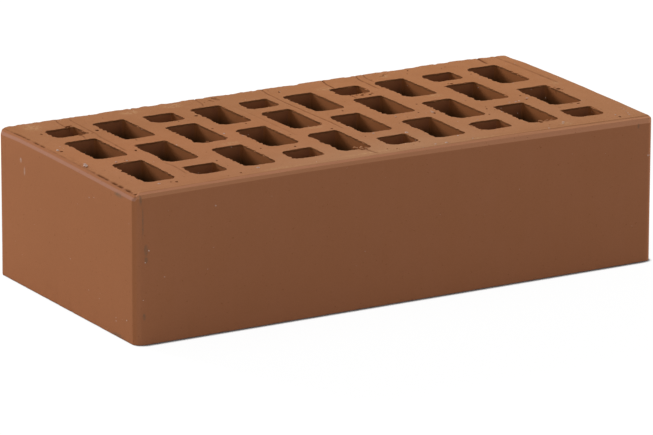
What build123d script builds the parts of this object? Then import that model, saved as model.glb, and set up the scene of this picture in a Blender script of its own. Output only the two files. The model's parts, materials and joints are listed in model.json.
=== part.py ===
"""Clay facing brick: extruded, wire-cut to height, perforated and fired.

Millimetres. The brick lies on its lower bed with the origin at that bed's
centre. +X runs along the length, -Y looks out of the dressed stretcher, -X
looks out of the dressed header, and +Z runs up through the perforations.
"""

from build123d import *
import os

os.makedirs("parts", exist_ok=True)

# Standard single format
brick_length = 250.0
brick_width = 120.0
brick_height = 65.0

# Upright arrises, rounded by the mouth of the extruder's die
arris_radius = 2.7

# Bevel rolled along the upper edge of the dressed stretcher and header
bevel_inset = 1.6
bevel_drop = 1.8

# Perforation: columns of one short and two long slots, every second column
# turned end for end, so that the webs of neighbouring columns are staggered
columns_each_way = 5
slot_width = 15.0
slot_corner = 2.5
short_slot = 13.0
end_web = 13.5
side_web = 14.5
short_web = 7.6
long_web = 9.4

# What follows from the sizes above
columns = 2 * columns_each_way
column_pitch = (brick_length - 2 * end_web - slot_width) / (columns - 1)
slotted_width = brick_width - 2 * side_web
long_slot = (slotted_width - short_slot - short_web - long_web) / 2
short_centre = slotted_width / 2 - short_slot / 2
inner_centre = slotted_width / 2 - short_slot - short_web - long_slot / 2
outer_centre = -slotted_width / 2 + long_slot / 2

# The bevel's cutter overshoots the brick by this much
overshoot = 1.0

with BuildPart() as brick:
    # The column of clay that leaves the die, cut to the brick's height
    with BuildSketch():
        RectangleRounded(brick_length, brick_width, arris_radius)
    extrude(amount=brick_height)

    # One set of columns, and the same set turned half a turn about the centre
    with BuildSketch():
        with PolarLocations(0, 2):
            with Locations((-column_pitch / 2, 0)):
                with GridLocations(2 * column_pitch, 0, columns_each_way, 1):
                    with Locations((0, short_centre)):
                        RectangleRounded(slot_width, short_slot, slot_corner)
                    with Locations((0, inner_centre), (0, outer_centre)):
                        RectangleRounded(slot_width, long_slot, slot_corner)
    extrude(amount=brick_height, mode=Mode.SUBTRACT)

    # The bevel follows the header, the near arris and the stretcher in one run
    with BuildLine() as bevel_run:
        FilletPolyline(
            (-brick_length / 2, brick_width / 2 + overshoot, brick_height),
            (-brick_length / 2, -brick_width / 2, brick_height),
            (brick_length / 2 + overshoot, -brick_width / 2, brick_height),
            radius=arris_radius,
        )
    bevel_path = bevel_run.wires()[0]
    across_header = Plane(origin=bevel_path @ 0, x_dir=(1, 0, 0), z_dir=(0, -1, 0))
    with BuildSketch(across_header) as bevel_section:
        with BuildLine():
            Polyline(
                (-overshoot, -bevel_drop * (1 + overshoot / bevel_inset)),
                (bevel_inset, 0),
                (bevel_inset, overshoot),
                (-overshoot, overshoot),
                close=True,
            )
        make_face()
    sweep(sections=bevel_section.sketch, path=bevel_path, mode=Mode.SUBTRACT)

brick.part.label = "brick"
export_step(brick.part, "parts/brick.step")
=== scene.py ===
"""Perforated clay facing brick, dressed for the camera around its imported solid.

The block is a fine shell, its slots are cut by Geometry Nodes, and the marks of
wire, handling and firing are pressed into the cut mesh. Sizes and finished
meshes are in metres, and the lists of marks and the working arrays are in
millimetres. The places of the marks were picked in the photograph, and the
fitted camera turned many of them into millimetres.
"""

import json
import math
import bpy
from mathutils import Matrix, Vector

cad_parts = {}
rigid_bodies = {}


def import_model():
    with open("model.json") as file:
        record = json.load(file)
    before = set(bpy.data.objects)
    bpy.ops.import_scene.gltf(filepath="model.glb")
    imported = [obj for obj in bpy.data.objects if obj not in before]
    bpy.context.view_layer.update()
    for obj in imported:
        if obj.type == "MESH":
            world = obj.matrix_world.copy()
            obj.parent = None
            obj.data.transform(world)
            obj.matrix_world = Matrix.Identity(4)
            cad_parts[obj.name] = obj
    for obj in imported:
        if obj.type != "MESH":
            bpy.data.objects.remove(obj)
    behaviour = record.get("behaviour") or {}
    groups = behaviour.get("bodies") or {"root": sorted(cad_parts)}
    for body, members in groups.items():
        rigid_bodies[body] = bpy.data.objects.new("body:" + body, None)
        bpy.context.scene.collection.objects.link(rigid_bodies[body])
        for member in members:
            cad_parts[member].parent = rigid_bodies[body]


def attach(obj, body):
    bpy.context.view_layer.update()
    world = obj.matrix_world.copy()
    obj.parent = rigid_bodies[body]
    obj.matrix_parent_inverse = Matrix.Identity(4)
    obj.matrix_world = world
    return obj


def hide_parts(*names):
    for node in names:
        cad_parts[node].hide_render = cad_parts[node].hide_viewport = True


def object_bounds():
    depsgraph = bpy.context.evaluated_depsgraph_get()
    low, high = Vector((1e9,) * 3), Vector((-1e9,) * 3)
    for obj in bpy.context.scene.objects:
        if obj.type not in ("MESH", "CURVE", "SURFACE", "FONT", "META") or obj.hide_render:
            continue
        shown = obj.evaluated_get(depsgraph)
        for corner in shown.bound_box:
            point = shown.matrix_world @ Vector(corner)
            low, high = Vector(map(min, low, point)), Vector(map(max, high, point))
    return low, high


bl_info = {
    "name": "Perforated clay brick",
    "version": (1, 0, 0),
    "blender": (4, 5, 0),
    "location": "View3D > Sidebar > Clay brick",
    "description": "Builds a wire-cut clay facing brick with staggered slots",
    "category": "Add Mesh",
}

import bpy
import numpy as np
from bpy.props import FloatProperty, FloatVectorProperty, IntProperty, PointerProperty
from mathutils import Matrix, Vector

for leftover in list(bpy.data.objects):
    bpy.data.objects.remove(leftover)

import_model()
cad_low, cad_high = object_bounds()

MM = 0.001
IMAGE_WIDTH = 653
BODY = "root"
NODE = "brick"


def length_of(label, text, default):
    """A length in metres with its label."""
    return FloatProperty(name=label, description=text, default=default, unit="LENGTH")


def share_of(label, text, default):
    """A plain number from nought upwards."""
    return FloatProperty(name=label, description=text, default=default, min=0.0)


def colour_of(label, text, srgb):
    """A colour written as it looks, from 0 to 255, and kept as scene light."""
    light = [c / 255 / 12.92 if c < 11 else ((c / 255 + 0.055) / 1.055) ** 2.4 for c in srgb]
    return FloatVectorProperty(
        name=label, description=text, default=light, size=3, subtype="COLOR", min=0.0, max=1.0
    )


class BlockSizes(bpy.types.PropertyGroup):
    """Sizes of the clay block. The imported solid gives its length, width and height."""

    long_side: length_of("Length", "Along the stretcher", cad_high.x - cad_low.x)
    short_side: length_of("Width", "Along the header", cad_high.y - cad_low.y)
    height: length_of("Height", "Between the beds", cad_high.z - cad_low.z)
    arris: length_of("Arris radius", "Rounding of the upright edges", 0.0027)
    arris_flat: share_of("Arris flat", "How flat the near arris is worn", 0.6)
    bevel_inset: length_of("Bevel inset", "Bevel's reach across the bed", 0.0016)
    shoulder: length_of("Shoulder reach", "Bed pressed down beside the dressed edges", 0.0031)
    shoulder_drop: length_of("Shoulder drop", "How far it is pressed down", 0.00012)
    extra_drop: length_of("Extra bevel drop", "Deeper bevel on the header and the right", 0.0006)
    header_sag: length_of("Header sag", "Drop of the header's shoulder near the arris", 0.00045)
    right_sag: length_of("Right sag", "Drop of the stretcher's shoulder at the right", 0.00035)
    corner_drop: length_of("Corner drop", "Drop of the two back corners", 0.00045)
    sunk: length_of("Bed sunk", "Drop of the bed below its highest burr", 0.0005)
    crown_across: length_of("Crown across", "Drop of the bed towards the stretchers", 0.0004)
    crown_along: length_of("Crown along", "Drop of the front edge towards its ends", 0.0008)
    shell_step: length_of("Shell step", "Spacing of the shell's points", 0.00125)
    wall_step: length_of("Wall step", "Spacing of the points down a wall", 0.012)


class SlotSizes(bpy.types.PropertyGroup):
    """Sizes of the perforation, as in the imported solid, and how far the fired slots stray."""

    columns: IntProperty(name="Columns each way", description="Columns that face one way", default=5)
    width: length_of("Slot width", "Along the brick", 0.015)
    short: length_of("Short slot", "Across the brick", 0.013)
    long: length_of("Long slot", "Across the brick", 0.0305)
    corner: length_of("Slot corner", "Rounding in plan", 0.0025)
    end_web: length_of("End web", "Clay between the last slot and the header", 0.0135)
    side_web: length_of("Side web", "Clay between a slot and the stretcher", 0.0145)
    short_web: length_of("Short web", "Web beside the short slot", 0.0076)
    long_web: length_of("Long web", "Web between the long slots", 0.0094)
    short_drift: length_of("Short slot drift", "How far the short slots lie forward", 0.0006)
    ragged: length_of("Ragged rim", "How far the torn rim strays", 0.0005)
    sway: length_of("Wall sway", "How far the walls stray from flat", 0.00035)
    seed: IntProperty(name="Seed", description="Picks the pattern of the torn rims", default=4)


class ClayLook(bpy.types.PropertyGroup):
    """Colours of the fired clay, with painted light and shade in the slots, the recesses and the
    shoulder's right end.
    """

    bed: colour_of("Cut bed", "Wire-cut clay", (175, 117, 75))
    bed_front: colour_of("Cut bed, front", "Dustier clay near the stretcher", (176, 123, 85))
    bed_edge: colour_of("Cut bed, edge", "Dustiest clay beside the stretcher", (183, 137, 101))
    bed_left: colour_of("Left tint", "Darkens the bed towards the header", (254, 248, 246))
    bed_back: colour_of("Back tint", "Darkens the back of the bed's left half", (244, 249, 252))
    bed_light: colour_of("Cut bed, light", "Paler mottling of the bed", (184, 127, 88))
    bed_dark: colour_of("Cut bed, dark", "Darker mottling of the bed", (171, 112, 71))
    skin: colour_of("Die skin", "Clay smoothed by the die", (164, 106, 70))
    skin_front: colour_of("Die skin, stretcher", "Clay of the stretcher's face", (164, 108, 76))
    skin_dark: colour_of("Die skin, dark", "Darker streaks in the skin", (160, 104, 69))
    shoulder_front: colour_of("Shoulder", "Pressed clay beside the stretcher", (174, 118, 86))
    # Painted light: the shoulder's colour lightens towards its right end, standing in for light that its
    # sag turns away
    shoulder_right_painted_light: colour_of("Shoulder, right", "The same at its right end", (194, 135, 98))
    bevel: colour_of("Header bevel", "Pinker clay along the header's bevel", (170, 120, 97))
    bevel_front: colour_of("Stretcher bevel", "Clay along the stretcher's bevel", (182, 125, 90))
    bevel_right: colour_of("Right bevel", "Paler clay at the bevel's right end", (190, 132, 99))
    hollow: colour_of("Slot wall", "Clay inside the slots", (144, 91, 59))
    # Painted light: slot walls that face the key lamp take this lit copy of the wall's colour
    hollow_painted_light: colour_of("Slot wall, lit", "Slot walls that look towards the header", (147, 90, 51))
    # Painted shade: the slot walls darken to this far down in the slots and in a broken line under the
    # torn rims
    hollow_painted_shade: colour_of("Slot wall, deep", "Clay far down in the slots", (77, 54, 31))
    # Painted shade in the grooves, pits and torn edges, and the colour of the dark flecks
    dirt_and_shade: colour_of("Recess", "Grooves, pits and torn edges", (106, 60, 28))
    dust: colour_of("Dust", "Pale yellowish bloom", (192, 147, 104))
    scuff: colour_of("Scuff", "Grey rub marks", (116, 96, 78))
    grain: colour_of("Grain", "Pale mineral grains", (196, 176, 164))


class StageLook(bpy.types.PropertyGroup):
    """Light and camera."""

    key_strength: share_of("Key strength", "Light of the soft lamp, in watts", 22.0)
    key_size: length_of("Key size", "Side of the soft lamp", 0.48)
    side_strength: share_of("Side strength", "Light of the low lamp at the right, in watts", 12.0)
    side_size: length_of("Side size", "Side of the low lamp", 0.24)
    sky: share_of("Sky", "Even light from all round", 0.55)
    azimuth: FloatProperty(
        name="Azimuth", description="Turn of the camera round the brick",
        default=math.radians(-30.352), subtype="ANGLE",
    )
    elevation: FloatProperty(
        name="Elevation", description="Height of the camera above the horizon",
        default=math.radians(16.037), subtype="ANGLE",
    )
    roll: FloatProperty(
        name="Roll", description="Tilt of the camera about its own axis",
        default=math.radians(0.157), subtype="ANGLE",
    )
    place: FloatVectorProperty(
        name="Camera place", description="Where the camera stands",
        default=(-1.21213, -2.069389, 0.711159), size=3, subtype="TRANSLATION",
    )
    focal_pixels: share_of("Focal length", "In pixels of the photograph", 5890.0)


class Value:
    """A number socket that takes Python's arithmetic, one Math node for each step."""

    def __init__(self, net, socket):
        self.net = net
        self.socket = socket

    def step(self, operation, *others):
        sockets = dict(enumerate((self, *others)))
        return self.net.add("ShaderNodeMath", {"operation": operation}, sockets)

    def flipped(self, operation, other):
        return self.net.add("ShaderNodeMath", {"operation": operation}, {0: other, 1: self})

    def __add__(self, other):
        return self.step("ADD", other)

    __radd__ = __add__

    def __sub__(self, other):
        return self.step("SUBTRACT", other)

    def __rsub__(self, other):
        return self.flipped("SUBTRACT", other)

    def __mul__(self, other):
        return self.step("MULTIPLY", other)

    def __truediv__(self, other):
        return self.step("DIVIDE", other)

    def __pow__(self, other):
        return self.step("POWER", other)

    def __abs__(self):
        return self.step("ABSOLUTE")

    def least(self, other):
        return self.step("MINIMUM", other)

    def most(self, other):
        return self.step("MAXIMUM", other)


class Net:
    """Builds one node tree. Every node but the arithmetic comes from add."""

    def __init__(self, tree):
        self.tree = tree

    def add(self, kind, settings=(), sockets=(), out=0):
        """Adds a node: its settings first, then the values or links of its sockets."""
        node = self.tree.nodes.new(kind)
        for name, setting in dict(settings).items():
            if name == "bends":
                self.set_bends(node, setting)
            else:
                setattr(node, name, setting)
        for key, value in dict(sockets).items():
            self.plug(node.inputs[key], value)
        return Value(self, node.outputs[out]) if node.outputs else node

    @staticmethod
    def set_bends(node, bends):
        """Sets a float curve of straight runs from (place, height) pairs."""
        points = node.mapping.curves[0].points
        while len(points) < len(bends):
            points.new(0.5, 0.5)
        for point, place in zip(points, bends):
            point.location = place
            point.handle_type = "VECTOR"
        node.mapping.update()

    def plug(self, socket, value):
        if isinstance(value, (list, tuple)) and value and isinstance(value[0], Value):
            for one in value:
                self.tree.links.new(one.socket, socket)
        elif isinstance(value, Value):
            self.tree.links.new(value.socket, socket)
        else:
            socket.default_value = value

    def output(self, value, name):
        """The output of a value's node that has this name."""
        return Value(self, value.socket.node.outputs[name])

    def mix(self, share, first, second, blend="MIX"):
        """Two colours mixed."""
        settings = {"data_type": "RGBA", "blend_type": blend, "clamp_factor": True}
        return self.add("ShaderNodeMix", settings, {0: share, 6: first, 7: second}, out=2)

    def vector(self, operation, *values, out=0, **sockets):
        """A Vector Math node."""
        settings = {"operation": operation}
        return self.add("ShaderNodeVectorMath", settings, {**dict(enumerate(values)), **sockets}, out)

    def fade(self, value, start, end, low=0.0, high=1.0):
        """A soft step from low to high as the value goes from start to end."""
        sockets = {"Value": value, "From Min": start, "From Max": end, "To Min": low, "To Max": high}
        return self.add("ShaderNodeMapRange", {"interpolation_type": "SMOOTHSTEP"}, sockets)

    def noise(self, vector, scale, detail=2.0, rough=0.5, warp=0.0, seed=0.0):
        """Soft noise between 0 and 1."""
        sockets = {
            "Vector": vector, "W": seed, "Scale": scale,
            "Detail": detail, "Roughness": rough, "Distortion": warp,
        }
        return self.add("ShaderNodeTexNoise", {"noise_dimensions": "4D"}, sockets)

    def xyz(self, x=0.0, y=0.0, z=0.0):
        """A vector from three numbers."""
        return self.add("ShaderNodeCombineXYZ", (), {"X": x, "Y": y, "Z": z})


def opaque(colour):
    """A colour property with its alpha."""
    return (*colour, 1.0)


def open_nodes(owner):
    """The net of a material or a world, emptied."""
    owner.use_nodes = True
    owner.node_tree.nodes.clear()
    return Net(owner.node_tree)


def open_tree(name, kinds, result):
    """A Geometry Nodes tree with named inputs: its net, and a function that gives an input."""
    tree = bpy.data.node_groups.new(name, "GeometryNodeTree")
    for label, (kind, default) in kinds.items():
        socket = tree.interface.new_socket(label, in_out="INPUT", socket_type="NodeSocket" + kind)
        if default is not None:
            socket.default_value = default
    tree.interface.new_socket(result, in_out="OUTPUT", socket_type="NodeSocketGeometry")
    net = Net(tree)
    entry = net.add("NodeGroupInput")

    def given(label):
        return net.output(entry, label)

    return net, given


def close_tree(net, geometry, clay):
    """Ends a tree in real faces of one material."""
    whole = net.add("GeometryNodeRealizeInstances", (), {"Geometry": geometry})
    done = net.add("GeometryNodeSetMaterial", (), {"Geometry": whole, "Material": clay})
    net.add("NodeGroupOutput", (), {0: done})
    return net.tree


def run_tree(obj, tree, values):
    """Runs a tree on an object and gives the result as a plain mesh."""
    modifier = obj.modifiers.new(tree.name, "NODES")
    modifier.node_group = tree
    for item in tree.interface.items_tree:
        if item.in_out == "INPUT" and item.name in values:
            modifier[item.identifier] = values[item.name]
    graph = bpy.context.evaluated_depsgraph_get()
    made = bpy.data.meshes.new_from_object(obj.evaluated_get(graph), depsgraph=graph)
    obj.modifiers.remove(modifier)
    return made


def new_object(name, mesh):
    """Links an object at the origin."""
    obj = bpy.data.objects.new(name, mesh)
    bpy.context.scene.collection.objects.link(obj)
    return obj


def seat(piece):
    """Makes a finished piece part of the brick."""
    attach(piece, BODY)
    return piece


def half_sizes(sizes):
    """Half the length, half the width and the whole height, in millimetres."""
    return sizes.long_side / MM / 2, sizes.short_side / MM / 2, sizes.height / MM


# The noise repeats after this many cells, and starts off the lattice's own corner
LATTICE = 257
LATTICE_START = (97.3, 61.7)


def lattice_noise(x, y, cell, seed):
    """Smooth noise from -1 to 1 over a plane, the same on each run."""
    values = np.random.default_rng(seed).uniform(-1, 1, (LATTICE, LATTICE))
    u, v = x / cell + LATTICE_START[0], y / cell + LATTICE_START[1]
    iu, iv = np.floor(u).astype(int), np.floor(v).astype(int)
    fu, fv = u - iu, v - iv
    fu, fv = fu * fu * (3 - 2 * fu), fv * fv * (3 - 2 * fv)
    left, right = iu % LATTICE, (iu + 1) % LATTICE
    low, high = iv % LATTICE, (iv + 1) % LATTICE
    near = values[left, low] * (1 - fu) + values[right, low] * fu
    far = values[left, high] * (1 - fu) + values[right, high] * fu
    return near * (1 - fv) + far * fv


def soft_step(value, start, end):
    """0 before start, 1 after end and smooth between them."""
    t = np.clip((value - start) / (end - start), 0, 1)
    return t * t * (3 - 2 * t)


# Lines that the cutting wire and the handling left across the bed, each as its
# path from the back edge (x, y in millimetres), its depth and its half width
DRAG_LINES = (
    (((-98.6, 60), (-99.9, 46), (-100.1, 26)), 0.3, 0.4),
    (((-92.7, 60), (-93.7, 38), (-94.1, 17), (-94.8, 0)), 0.22, 0.35),
    (((-89.4, -25), (-90.4, -42)), 0.2, 0.35),
    (((-31.1, 60), (-32.1, 51), (-33.7, 47)), 0.25, 0.4),
    (((-22.6, 40), (-22.9, -15)), 0.08, 0.4),
    (((-8.7, -45.5), (-7.3, -54.5)), 0.5, 0.5),
    (((1.7, 60), (0.1, 37), (-0.1, 17), (0.6, -3), (0.0, -14)), 0.35, 0.4),
    (((32.0, 60), (31.0, 45), (31.0, 26)), 0.45, 0.45),
    (((48.4, 60), (47.1, 35)), 0.35, 0.4),
    (((52.1, 60), (51.6, 46)), 0.28, 0.35),
    (((111.0, 60), (109.9, 49)), 0.55, 0.7),
    (((119.9, 60), (119.2, 34), (119.3, 6)), 0.3, 0.4),
)

# The shell has a set of lines at each drag line, tied to it at this place across
# the brick. The other lines and the edges' own keep clear of them
LINE_OFFSETS = (-0.6, -0.25, 0.0, 0.25, 0.6)
LINE_TIE = 30.0
LINE_CLEAR = 0.95
EDGE_CLEAR = 0.3

# Distances in from the edge at which the shell has its fine lines, in millimetres
DRESSED_STEPS = (
    1.75, 1.95, 2.15, 2.35, 2.55, 2.75, 2.95, 3.15, 3.4,
    3.65, 3.9, 4.15, 4.45, 4.8, 5.3, 6.0, 6.8, 7.7,
)
PLAIN_STEPS = (1.0, 1.35, 1.7, 2.1, 2.5, 3.0, 3.6, 4.3, 5.1, 6.0, 7.0)

# The upper edge in section: (inset, drop) down the bevel and round a plain edge
BEVEL_ROWS = (
    (1.55, 0.0), (1.35, 0.01), (1.18, 0.03), (1.02, 0.06), (0.85, 0.14),
    (0.66, 0.32), (0.46, 0.56), (0.26, 0.82), (0.07, 1.08), (0.0, 1.38),
)
ROUND_ROWS = (
    (0.5, 0.0), (0.4, 0.02), (0.31, 0.05), (0.23, 0.1), (0.16, 0.17),
    (0.1, 0.26), (0.05, 0.38), (0.015, 0.55), (0.0, 0.85), (0.0, 1.3),
)

# The foot's edge: (inset, level), and how far down the near arris its wear sets in
FOOT_ROWS = ((0.0, 1.2), (0.02, 0.45), (0.08, 0.16), (0.16, 0.04), (0.28, 0.0))
WEAR_START = 1.2

# Round a corner the outline's points crowd: the first lies this far from the
# arc's middle, and this much further along they stand level with the grid's lines
FIRST_POINT = 0.55
CROWDED = 6.0

# A normal's part below this counts as nought
TINY = 1e-6


def line_place(path, y):
    """Where a drag line's path crosses y."""
    ys = [p[1] for p in path][::-1]
    xs = [p[0] for p in path][::-1]
    return np.interp(y, ys, xs)


def grid_lines(half, step, first, last, kept=()):
    """Grid lines across the bed: fine near both edges, with a set of lines at each kept place."""
    head = -half + np.array(first)
    tail = half - np.array(last)[::-1]
    count = int(round((tail[0] - head[-1]) / step))
    body = np.linspace(head[-1], tail[0], count + 1)[1:-1]
    for place in kept:
        body = body[np.abs(body - place) > LINE_CLEAR]
    added = [place + offset for place in kept for offset in LINE_OFFSETS]
    added = [a for a in added if head[-1] + EDGE_CLEAR < a < tail[0] - EDGE_CLEAR]
    return np.array(sorted([*head, *body, *added, *tail]))


class Outline:
    """The block's outline: points and outward normals from places along its sides."""

    def __init__(self, half_x, half_y, radius):
        self.half = np.array([half_x, half_y])
        self.radius = radius
        self.quarter = radius * math.pi / 4

    def along(self, gap, first):
        """Distance from the middle of an arc for a grid line at this gap from the corner."""
        settled = first + CROWDED
        if gap >= settled:
            return gap - self.radius + self.quarter
        end = settled - self.radius + self.quarter
        return np.interp(gap, [first, settled], [FIRST_POINT, end])

    def point(self, corner, towards, distance):
        """The point this far from the middle of a corner's arc, and its normal."""
        centre = np.array(corner) * (self.half - self.radius)
        diagonal = np.array(corner) / math.sqrt(2)
        side = -np.array(towards, float)
        outward = np.array(corner, float) - np.abs(side) * np.array(corner)
        if distance < self.quarter:
            turn = distance / self.radius
            across = np.array([-diagonal[1], diagonal[0]])
            if across @ outward < 0:
                across = -across
            normal = diagonal * math.cos(turn) + across * math.sin(turn)
            return centre + normal * self.radius, normal
        start = centre + outward * self.radius
        return start - side * (distance - self.quarter), outward


def outline_loop(outline, lines_x, lines_y):
    """The outline's points and normals, one for each grid point round the edge."""
    points, normals = [], []

    def side(corner, towards, lines, half, axis):
        start = np.array(corner)
        far = start + 2 * np.array(towards)
        point, normal = outline.point(corner, towards, 0.0)
        points.append(point)
        normals.append(normal)
        ordered = lines if towards[axis] > 0 else lines[::-1]
        first = half - abs(ordered[0])
        last = half - abs(ordered[-1])
        for place in ordered:
            gap = abs(place - start[axis] * half)
            back = abs(place - far[axis] * half)
            if gap < back:
                point, normal = outline.point(corner, towards, outline.along(gap, first))
            else:
                away = -np.array(towards)
                point, normal = outline.point(tuple(far), tuple(away), outline.along(back, last))
            points.append(point)
            normals.append(normal)

    half_x, half_y = outline.half
    side((-1, -1), (1, 0), lines_x, half_x, 0)
    side((1, -1), (0, 1), lines_y, half_y, 1)
    side((1, 1), (-1, 0), lines_x, half_x, 0)
    side((-1, 1), (0, -1), lines_y, half_y, 1)
    return np.array(points), np.array(normals)


def bevel_share(normals, sizes):
    """How much of the bevel an outline point has: all on the dressed sides, none on the plain ones."""
    bend = sizes.arris / sizes.bevel_inset
    header = 1 - bend * (1 + normals[:, 0])
    stretcher = 1 - bend * (1 + normals[:, 1])
    share = np.clip(np.maximum(header, stretcher), 0, 1)
    share[(normals[:, 0] < TINY) & (normals[:, 1] < TINY)] = 1.0
    return share


def bed_points(lines_x, lines_y, kept, outline):
    """The bed's inner points, with the fine lines bent to follow the drag lines."""
    (half_x, half_y), radius = outline.half, outline.radius
    inner_x, inner_y = np.meshgrid(lines_x, lines_y, indexing="ij")
    order = np.argsort(kept)
    anchors = [-half_x, *np.array(kept)[order], half_x]
    for j, y in enumerate(lines_y):
        shifts = [0.0, *[line_place(DRAG_LINES[i][0], y) - kept[i] for i in order], 0.0]
        inner_x[:, j] += np.interp(lines_x, anchors, shifts)
    corner_x, corner_y = half_x - radius, half_y - radius
    over_x = inner_x - np.clip(inner_x, -corner_x, corner_x)
    over_y = inner_y - np.clip(inner_y, -corner_y, corner_y)
    reach = np.hypot(over_x, over_y)
    squeeze = np.where(
        (np.abs(over_x) > 0) & (np.abs(over_y) > 0),
        np.maximum(np.abs(over_x), np.abs(over_y)) / np.maximum(reach, 1e-9), 1.0,
    )
    inner_x -= over_x * (1 - squeeze)
    inner_y -= over_y * (1 - squeeze)
    return inner_x, inner_y


def edge_rows(share, height, wall_step):
    """Rings from the bed's edge down to the lower bed: the insets and levels of each."""
    rows = []
    for (inset, drop), (round_inset, round_drop) in zip(BEVEL_ROWS, ROUND_ROWS):
        rows.append((
            share * inset + (1 - share) * round_inset,
            height - share * drop - (1 - share) * round_drop,
        ))
    foot_top = FOOT_ROWS[0][1]
    wall_top = height - BEVEL_ROWS[-1][1]
    count = int(round((wall_top - foot_top) / wall_step))
    for level in np.linspace(wall_top, foot_top, count + 1)[1:-1]:
        rows.append((0 * share, level + 0 * share))
    for inset, level in FOOT_ROWS:
        rows.append((inset + 0 * share, level + 0 * share))
    return rows


def shell_faces(columns_x, columns_y, loop, rings):
    """The shell's faces: the bed's grid, the strips between the rings and the lower bed."""
    inner_count = columns_x * columns_y
    ring = inner_count + np.arange(loop)

    # Numbers of the grid's points, the first ring round the inner points
    grid = np.empty((columns_x + 2, columns_y + 2), int)
    grid[1:-1, 1:-1] = np.arange(inner_count).reshape(columns_x, columns_y)
    grid[:-1, 0] = ring[: columns_x + 1]
    grid[-1, :-1] = ring[columns_x + 1 : columns_x + columns_y + 2]
    grid[1:, -1] = ring[columns_x + columns_y + 2 : 2 * columns_x + columns_y + 3][::-1]
    grid[0, 1:] = ring[2 * columns_x + columns_y + 3 :][::-1]
    quads = np.stack([grid[:-1, :-1], grid[1:, :-1], grid[1:, 1:], grid[:-1, 1:]], -1)
    faces = quads.reshape(-1, 4).tolist()
    for k in range(rings - 1):
        upper = inner_count + k * loop + np.arange(loop)
        lower = upper + loop
        strip = np.stack([upper, lower, np.roll(lower, -1), np.roll(upper, -1)], 1)
        faces += strip.tolist()
    bottom = inner_count + (rings - 1) * loop + np.arange(loop)
    faces.append(bottom[::-1].tolist())
    return faces


def block_mesh(sizes):
    """The block as a closed shell, its bed flat and its bevel and arrises finished."""
    half_x, half_y, height = half_sizes(sizes)
    radius, step = sizes.arris / MM, sizes.shell_step / MM
    kept = [
        line_place(path, LINE_TIE if path[-1][1] < LINE_TIE < path[0][1] else path[0][1])
        for path, depth, half_width in DRAG_LINES
    ]
    lines_x = grid_lines(half_x, step, DRESSED_STEPS, PLAIN_STEPS, kept)
    lines_y = grid_lines(half_y, step, DRESSED_STEPS, PLAIN_STEPS)
    outline = Outline(half_x, half_y, radius)
    edge, normals = outline_loop(outline, lines_x, lines_y)
    inner_x, inner_y = bed_points(lines_x, lines_y, kept, outline)
    rows = edge_rows(bevel_share(normals, sizes), height, sizes.wall_step / MM)

    # The near arris is worn flat, part of the way to its arc's chord
    near = (normals[:, 0] < -TINY) & (normals[:, 1] < -TINY)
    tilt = np.abs(normals @ np.array([1, 1]) / math.sqrt(2))
    chord = radius * (1 - math.cos(math.pi / 4) / np.maximum(tilt, 0.5))
    wear = np.where(near, sizes.arris_flat, 0.0) * chord
    vertices = [np.stack([inner_x.ravel(), inner_y.ravel(), np.full(inner_x.size, height)], 1)]
    for inset, level in rows:
        worn = inset + wear * soft_step(height - level, 0.0, WEAR_START)
        vertices.append(np.column_stack([edge - normals * worn[:, None], level]))

    mesh = bpy.data.meshes.new("block")
    faces = shell_faces(len(lines_x), len(lines_y), len(edge), len(rows))
    mesh.from_pydata((np.vstack(vertices) * MM).tolist(), [], faces)
    mesh.validate()
    return mesh


# A slot's cutter overshoots both beds by this share of the brick's height. Its
# rows crowd under the rims, and each is a share of the cutter's own height
OVERSHOOT = 0.05
CUTTER_LEVELS = (0.0, 0.05, 0.08, 0.5, 0.92, 0.9425, 0.9478, 0.9502, 0.9535, 1.0)
RIM_STEP = 0.5 * MM


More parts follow.
